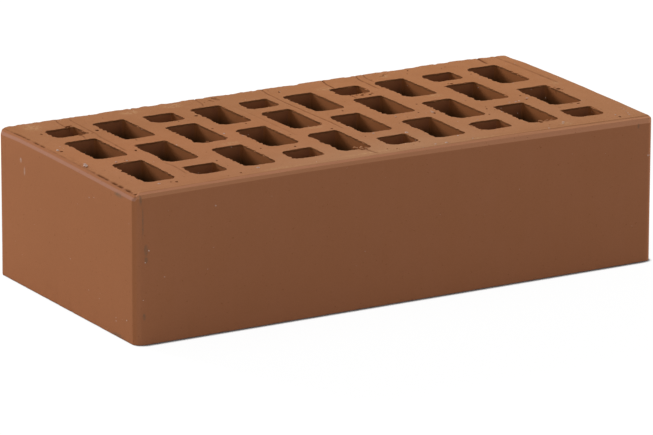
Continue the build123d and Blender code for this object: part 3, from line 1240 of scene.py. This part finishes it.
def bed_colour(net, look, place, mottle, cloud):
    """Wire-cut clay: mottled, dustier at the front, darker towards the header and the back."""
    x = net.add("ShaderNodeSeparateXYZ", (), {"Vector": place})
    y = net.output(x, "Y")
    veins = net.noise(net.vector("MULTIPLY", place, (1.0, 0.06, 1.0)), 0.7, 2.0, 0.55, seed=5.0)
    tone = net.fade(mottle * 0.55 + cloud * 0.3 + veins * 0.15, 0.36, 0.64)
    bed = net.mix(net.fade(y, 45.0, -60.0), opaque(look.bed), opaque(look.bed_front))
    mottled = net.mix(tone, opaque(look.bed_dark), opaque(look.bed_light))
    bed = net.mix(0.3, bed, mottled)
    dusty = net.fade(y, -24.0, -54.0) * net.fade(x, -90.0, -20.0) * net.fade(x, 60.0, 10.0)
    bed = net.mix(dusty * 0.6, bed, opaque(look.bed_edge))
    bed = net.mix(net.fade(x, 90.0, -110.0), bed, opaque(look.bed_left), "MULTIPLY")
    behind = net.fade(y, 0.0, 40.0) * net.fade(x, 40.0, -20.0)
    return net.mix(behind, bed, opaque(look.bed_back), "MULTIPLY")


def skin_colour(net, look, tilt, streaks):
    """Clay of the outer faces, smoothed and streaked by the die."""
    endways = net.fade(abs(tilt) - abs(net.output(tilt, "Y")), -0.26, 0.26)
    skin = net.mix(endways, opaque(look.skin_front), opaque(look.skin))
    return net.mix(streaks * 0.5, skin, opaque(look.skin_dark))


def hollow_colour(net, look, tilt, depth, cloud):
    """Clay of the slots' walls with painted light and shade: darker far down, and a broken dark line
    where the torn rim hangs over them.
    """
    # Painted light: walls that face the key lamp take the lit copy of the wall's colour
    wall = net.mix(net.fade(tilt, -0.3, -0.8), opaque(look.hollow), opaque(look.hollow_painted_light))
    # Painted shade: the walls darken far down in the slots
    deep = net.mix(net.fade(depth, 2.5, 9.5), wall, opaque(look.hollow_painted_shade))
    # Painted shadow: a broken dark line just under the rims, where the torn rim hangs over the walls
    hung = depth + (cloud - 0.5) * 1.6
    under = net.fade(hung, 0.1, 0.3) * net.fade(hung, 1.0, 0.6)
    return net.mix(under * 0.55, deep, opaque(look.hollow_painted_shade))


def bevel_colour(net, look, x, header_side, grain):
    """Clay rolled along the bevel: pinker on the header, paler at the right end."""
    pressed = net.mix(net.fade(x, -30.0, 100.0), opaque(look.bevel_front), opaque(look.bevel_right))
    pressed = net.mix(header_side, pressed, opaque(look.bevel))
    return net.mix(net.fade(grain, 0.5, 0.7) * 0.3, pressed, opaque(look.skin))


def clay_material(look, sizes, loose=False):
    """Fired clay: cut bed, die skin, pressed bevel and slot walls, told apart by place."""
    material = bpy.data.materials.new("fired clay crumb" if loose else "fired clay")
    net = open_nodes(material)
    entry = net.add("ShaderNodeTexCoord")
    place = net.vector("SCALE", net.output(entry, "Object"), Scale=1 / MM)
    x = net.add("ShaderNodeSeparateXYZ", (), {"Vector": place})
    tilt = net.add("ShaderNodeSeparateXYZ", (), {"Vector": net.output(entry, "Normal")})
    depth, header_side, shoulder, bevel, hollow, cut_bed = clay_zones(net, place, tilt, sizes)

    mottle = net.noise(place, 0.045, 3.0, 0.55, 0.4, seed=1.0)
    cloud = net.noise(place, 0.35, 3.0, 0.6, seed=2.0)
    grain = net.noise(place, 1.9, 2.0, 0.65, seed=3.0)
    drawn = net.noise(net.vector("MULTIPLY", place, (0.5, 0.5, 0.02)), 0.5, 3.0, 0.55, seed=4.0)

    skin = skin_colour(net, look, tilt, net.fade(drawn * 0.35 + mottle * 0.65, 0.25, 0.75))
    colour = net.mix(hollow, skin, hollow_colour(net, look, tilt, depth, cloud))
    # The shoulder's pressed clay, lightened towards the right end with painted light
    worn = net.fade(x, 0.0, 110.0)
    worn = net.mix(worn, opaque(look.shoulder_front), opaque(look.shoulder_right_painted_light))
    colour = net.mix(shoulder, colour, worn)
    colour = net.mix(bevel, colour, bevel_colour(net, look, x, header_side, grain))
    colour = net.mix(cut_bed, colour, bed_colour(net, look, place, mottle, cloud))

    if not loose:
        rubbed = net.fade(net.noise(place, 0.9, 3.0, 0.7, seed=6.0), 0.42, 0.62)
        dusted = spots(net, place, DUST_MARKS, rubbed * 0.7)
        colour = net.mix(dusted, colour, opaque(look.dust))
        scuffed = spots(net, place, SCUFF_MARKS, rubbed * 0.4 + 0.35)
        colour = net.mix(scuffed, colour, opaque(look.scuff))
        pale = spots(net, place, PALE_MARKS, rubbed * 0.3 + 0.25)
        colour = net.mix(pale, colour, opaque(look.grain))

    # Painted shade darkens the grooves and pits, and dark flecks are scattered over the clay
    recess = net.add("ShaderNodeAttribute", {"attribute_name": "recess"}, out=2)
    colour = net.mix(recess, colour, opaque(look.dirt_and_shade))
    fleck = net.fade(net.noise(place, 1.1, 1.0, 0.5, seed=7.0), 0.70, 0.76)
    colour = net.mix(fleck * 0.35, colour, opaque(look.dirt_and_shade))
    shade = 0.90 + grain * 0.2
    colour = net.mix(1.0, colour, net.xyz(shade, shade, shade), "MULTIPLY")

    grit = net.noise(place, 2.6, 3.0, 0.7, seed=8.0)
    rough_cut = (cut_bed + hollow * 0.5 + 0.18).least(1.0)
    relief = grit * rough_cut + cloud * 0.5 * cut_bed + drawn * 0.15 * (1.0 - cut_bed)
    bump = net.add("ShaderNodeBump", (), {"Strength": 0.45, "Distance": 0.25 * MM, "Height": relief})
    surface = net.add("ShaderNodeBsdfPrincipled", (), {
        "Base Color": colour, "Roughness": 0.92, "Specular IOR Level": 0.06, "Normal": bump,
    })
    net.add("ShaderNodeOutputMaterial", (), {"Surface": surface})
    return material


def grain_material(look):
    """Pale mineral grain."""
    material = bpy.data.materials.new("pale grain")
    net = open_nodes(material)
    place = net.vector("SCALE", net.output(net.add("ShaderNodeTexCoord"), "Object"), Scale=1 / MM)
    tone = net.noise(place, 1.3, 2.0, 0.6, seed=1.0)
    colour = net.mix(net.fade(tone, 0.35, 0.65), opaque(look.bevel), opaque(look.grain))
    bump = net.add(
        "ShaderNodeBump", (), {"Strength": 0.4, "Distance": 0.1 * MM, "Height": net.noise(place, 5.0)}
    )
    surface = net.add("ShaderNodeBsdfPrincipled", (), {
        "Base Color": colour, "Roughness": 0.6, "Specular IOR Level": 0.4, "Normal": bump,
    })
    net.add("ShaderNodeOutputMaterial", (), {"Surface": surface})
    return material


class BRICK_OT_block(bpy.types.Operator):
    """Build the brick: shell, slots, pits and marks"""

    bl_idname = "brick.block"
    bl_label = "Brick"

    def execute(self, context):
        scene = context.scene
        sizes, slots = scene.brick_block, scene.brick_slots
        clay = clay_material(scene.brick_look, sizes)
        blank = new_object("blank", block_mesh(sizes))
        slotted_half = sizes.short_side / 2 - slots.side_web
        gaps = 2 * slots.columns - 1
        blank.data = run_tree(blank, slot_tree(sizes, slots), {
            "Pitch": (sizes.long_side - 2 * slots.end_web - slots.width) / gaps,
            "Short centre": slotted_half - slots.short / 2,
            "Inner centre": slotted_half - slots.short - slots.short_web - slots.long / 2,
            "Outer centre": slots.long / 2 - slotted_half,
            "Clay": clay,
        })
        pits = place_points("pit places", [
            ((x, y, sizes.height / MM), (wide, long, deep), turn)
            for x, y, long, wide, turn, deep in all_pits()
        ])
        pitted = run_tree(blank, pit_tree(), {"Pit places": pits, "Clay": clay})
        bpy.data.objects.remove(blank)
        bpy.data.objects.remove(pits)
        press_marks(pitted, sizes)
        keep_sharp(pitted, SHARP_ANGLE)
        piece = seat(new_object("brick_clay", pitted))
        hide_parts(NODE)
        return {"FINISHED"}


class BRICK_OT_crumbs(bpy.types.Operator):
    """Set the clay crumbs and burrs on the bed"""

    bl_idname = "brick.crumbs"
    bl_label = "Crumbs"

    def execute(self, context):
        scene = context.scene
        sizes = scene.brick_block
        clay = clay_material(scene.brick_look, sizes, loose=True)
        marks = []
        for x, y, long, wide, tall, turn in CRUMBS:
            along, across = creep(x, y)
            level = sizes.height / MM - crown_drop(x, y, sizes) - CRUMB_SUNK
            marks.append(((x + along, y + across, level), (wide, long, tall), turn))
        made = set_stones("crumbs", marks, 2, clay, 1.2 * MM)
        made.shade_smooth()
        seat(new_object("clay_crumbs", made))
        return {"FINISHED"}


class BRICK_OT_grains(bpy.types.Operator):
    """Set the pale grains in the bed and the two dressed faces"""

    bl_idname = "brick.grains"
    bl_label = "Pale grains"

    def execute(self, context):
        scene = context.scene
        sizes = scene.brick_block
        half_x, half_y, height = half_sizes(sizes)
        draw = np.random.default_rng(31)
        marks = []

        def add(place, size, flat):
            thin = [size, size * draw.uniform(0.7, 1.3), size * draw.uniform(0.6, 1.0)]
            thin[flat] = size * GRAIN_FLAT
            marks.append((place, thin, 0))

        for x, y, size in BED_GRAINS:
            along, across = creep(x, y)
            add((x + along, y + across, height - crown_drop(x, y, sizes)), size, 2)
        for y, z, size in HEADER_GRAINS:
            add((-half_x + GRAIN_IN, y, z), size, 0)
        for x, z, size in STRETCHER_GRAINS:
            add((x, -half_y + GRAIN_IN, z), size, 1)
        for _ in range(BED_SCATTER):
            x, y = draw.uniform(-half_x + 4, half_x - 2), draw.uniform(-half_y + 4, half_y - 2)
            level = height - crown_drop(x, y, sizes) - SCATTER_SUNK
            add((x, y, level), draw.uniform(0.12, 0.28), 2)
        for _ in range(HEADER_SCATTER):
            y, z = draw.uniform(-55, 56), draw.uniform(3, 60)
            add((-half_x + SCATTER_IN, y, z), draw.uniform(0.12, 0.26), 0)
        for _ in range(STRETCHER_SCATTER):
            x, z = draw.uniform(-120, 122), draw.uniform(3, 61)
            add((x, -half_y + SCATTER_IN, z), draw.uniform(0.12, 0.26), 1)

        grain = grain_material(scene.brick_look)
        seat(new_object("pale_grains", set_stones("grains", marks, 1, grain, 0.35 * MM)))
        return {"FINISHED"}


# The stage, in metres: half the floor's side, how far the lamps stand from the
# point that they aim at, and how high that point is. The sensor is in millimetres
FLOOR_REACH = 6.0
LAMP_DISTANCE = 1.6
LAMP_AIM = 0.05
SENSOR_WIDTH = 36.0

# The painted contact shadow under the brick: how near the floor is to it, how much
# open sky it still sees where the line starts and where it is full, and its colour
CONTACT_REACH = 0.0042
CONTACT_START, CONTACT_FULL = 0.68, 0.42
CONTACT_COLOUR = (0.045, 0.032, 0.03, 1)

# The floor: the white that the camera sees, how much of it, and its own grey
FLOOR_WHITE, FLOOR_SEEN, FLOOR_GREY = 1.06, 0.9, 0.82


class BRICK_OT_stage(bpy.types.Operator):
    """Set the floor, the light and the camera"""

    bl_idname = "brick.stage"
    bl_label = "Stage"

    def execute(self, context):
        scene = context.scene
        look = scene.brick_stage
        self.set_floor()
        self.light_room(scene, look)
        self.set_lamps(scene, look)
        self.set_camera(scene, look)
        scene.view_settings.view_transform = "Standard"
        return {"FINISHED"}

    def set_floor(self):
        """A wide plain floor."""
        floor = bpy.data.meshes.new("floor")
        reach = FLOOR_REACH
        floor.from_pydata(
            [(-reach, -reach, 0), (reach, -reach, 0), (reach, reach, 0), (-reach, reach, 0)],
            [], [(0, 1, 2, 3)],
        )
        floor.materials.append(floor_material())
        new_object("floor", floor)

    def light_room(self, scene, look):
        """Even light from all round, white where the camera looks past the floor."""
        world = bpy.data.worlds.new("studio")
        scene.world = world
        net = open_nodes(world)
        seen = seen_directly(net)
        strength = seen * (1.0 - look.sky) + look.sky
        sky = net.add("ShaderNodeBackground", (), {"Color": (1, 1, 1, 1), "Strength": strength})
        net.add("ShaderNodeOutputWorld", (), {"Surface": sky})

    def set_lamps(self, scene, look):
        """A soft lamp behind the brick and to its left, and a low one at the right."""
        lamps = (
            ("key", (-0.293, 0.878, 0.376), look.key_size, look.key_strength),
            ("side", (0.99, 0.06, 0.07), look.side_size, look.side_strength),
        )
        for name, way, size, strength in lamps:
            lamp = bpy.data.lights.new(name, "AREA")
            lamp.shape = "SQUARE"
            lamp.size = size
            lamp.energy = strength
            towards = Vector(way).normalized()
            light = bpy.data.objects.new(name, lamp)
            scene.collection.objects.link(light)
            light.location = Vector((0, 0, LAMP_AIM)) + towards * LAMP_DISTANCE
            light.rotation_euler = towards.to_track_quat("Z", "Y").to_euler()

    def set_camera(self, scene, look):
        """The camera, turned and tilted as the photograph's was."""
        camera = bpy.data.cameras.new("camera")
        camera.sensor_fit = "HORIZONTAL"
        camera.sensor_width = SENSOR_WIDTH
        camera.lens = look.focal_pixels / IMAGE_WIDTH * camera.sensor_width
        camera.clip_start, camera.clip_end = 0.05, 50.0
        view = bpy.data.objects.new("camera", camera)
        scene.collection.objects.link(view)
        turn, rise = look.azimuth, look.elevation
        back = Vector((
            math.sin(turn) * math.cos(rise), -math.cos(turn) * math.cos(rise), math.sin(rise)
        ))
        right = (-back).cross(Vector((0, 0, 1))).normalized()
        above = right.cross(-back)
        across = right * math.cos(look.roll) + above * math.sin(look.roll)
        upward = above * math.cos(look.roll) - right * math.sin(look.roll)
        view.matrix_world = Matrix.Translation(Vector(look.place)) @ Matrix(
            (across, upward, back)
        ).transposed().to_4x4()
        scene.camera = view


def seen_directly(net):
    """1 for rays from the camera and for those seen in gloss or glass."""
    path = net.add("ShaderNodeLightPath")
    glossy, clear = net.output(path, "Is Glossy Ray"), net.output(path, "Is Transmission Ray")
    return net.output(path, "Is Camera Ray").most(glossy).most(clear)


def floor_material():
    """Pale floor that looks white, and keeps the brick's shadow, with a painted contact shadow as the
    dark line under it.
    """
    material = bpy.data.materials.new("floor")
    net = open_nodes(material)
    seen = seen_directly(net)

    # The painted contact shadow lies before the stretcher, so the hemisphere leans over the brick from
    # there
    open_sky = net.add(
        "ShaderNodeAmbientOcclusion", {"samples": 16},
        {"Distance": CONTACT_REACH, "Normal": net.xyz(-0.15, 0.64, 0.75)}, out=1,
    )
    contact = net.fade(open_sky, CONTACT_START, CONTACT_FULL)
    tone = net.mix(contact, (1, 1, 1, 1), CONTACT_COLOUR)
    white = net.add("ShaderNodeEmission", (), {"Color": tone, "Strength": FLOOR_WHITE})
    grey = (FLOOR_GREY, FLOOR_GREY, FLOOR_GREY, 1)
    matt = net.add("ShaderNodeBsdfDiffuse", (), {"Color": grey})
    both = net.add("ShaderNodeMixShader", (), {0: seen * FLOOR_SEEN, 1: matt, 2: white})
    net.add("ShaderNodeOutputMaterial", (), {"Surface": both})
    return material


class VIEW3D_PT_brick(bpy.types.Panel):
    """The brick's pieces and their sizes"""

    bl_idname = "VIEW3D_PT_brick"
    bl_label = "Clay brick"
    bl_space_type = "VIEW_3D"
    bl_region_type = "UI"
    bl_category = "Clay brick"

    def draw(self, context):
        for step in STEPS:
            self.layout.operator(step.bl_idname)
        for name in SETTINGS:
            group = getattr(context.scene, name)
            box = self.layout.box()
            for key in group.bl_rna.properties.keys():
                if key not in ("rna_type", "name"):
                    box.prop(group, key)


SETTINGS = {
    "brick_block": BlockSizes,
    "brick_slots": SlotSizes,
    "brick_look": ClayLook,
    "brick_stage": StageLook,
}
STEPS = (BRICK_OT_block, BRICK_OT_crumbs, BRICK_OT_grains, BRICK_OT_stage)


def register():
    for group in SETTINGS.values():
        bpy.utils.register_class(group)
    for step in (*STEPS, VIEW3D_PT_brick):
        bpy.utils.register_class(step)
    for name, group in SETTINGS.items():
        setattr(bpy.types.Scene, name, PointerProperty(type=group))


def unregister():
    for name in SETTINGS:
        delattr(bpy.types.Scene, name)
    for kind in (VIEW3D_PT_brick, *reversed(STEPS), *reversed(list(SETTINGS.values()))):
        bpy.utils.unregister_class(kind)


def main():
    register()
    bpy.ops.brick.block()
    bpy.ops.brick.crumbs()
    bpy.ops.brick.grains()
    bpy.ops.brick.stage()


if __name__ == "__main__":
    main()
